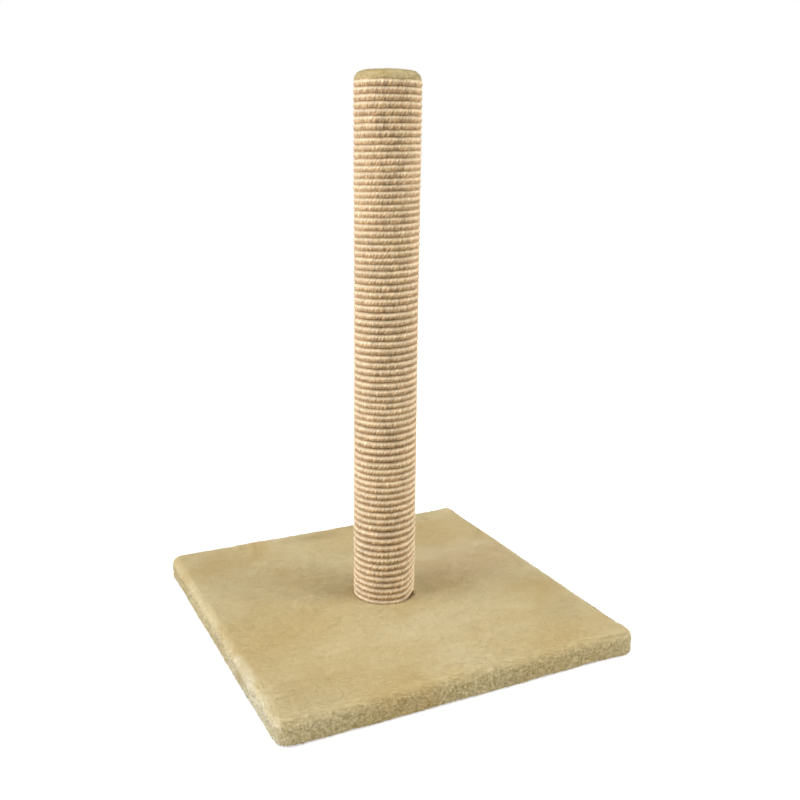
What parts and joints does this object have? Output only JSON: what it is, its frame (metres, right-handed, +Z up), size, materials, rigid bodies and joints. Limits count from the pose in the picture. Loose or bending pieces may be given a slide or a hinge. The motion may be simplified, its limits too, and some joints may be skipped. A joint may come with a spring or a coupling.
{
  "type": "cat scratching post",
  "caption": "Free-standing cat scratching post: an upright tube wound with twisted sisal rope under a plush cap, bolted to a square plush-covered base board.",
  "frame": {"origin": "on the floor, at the middle of the underside of the base", "axes": "+Z up along the post, X and Y along the sides of the square base"},
  "size_m": [0.408, 0.408, 0.606],
  "materials": {
    "board_wood": "raw particle board",
    "plush": "short-pile beige plush with a soft nap",
    "staple_steel": "galvanised wire",
    "plated_steel": "zinc plated",
    "insert_metal": "plain turned brass",
    "plug_wood": "raw softwood",
    "tube_paper": "spiral-wound kraft paper",
    "sisal": "natural three-strand twisted sisal, hairy"
  },
  "bodies": {
    "root": {"base_board": "board_wood", "base_cover": "plush", "hem_staples": "staple_steel", "post_bolt": "plated_steel", "bolt_washer": "plated_steel", "threaded_insert": "insert_metal", "lower_plug": "plug_wood", "lower_plug_nails": "plated_steel", "post_tube": "tube_paper", "upper_plug": "plug_wood", "upper_plug_nails": "plated_steel", "cap_disc": "plug_wood", "cap_screw": "plated_steel", "cap_cover": "plush", "sisal_rope_1": "sisal", "sisal_rope_2": "sisal", "sisal_rope_3": "sisal", "sisal_rope_4": "sisal"}
  },
  "joints": []
}
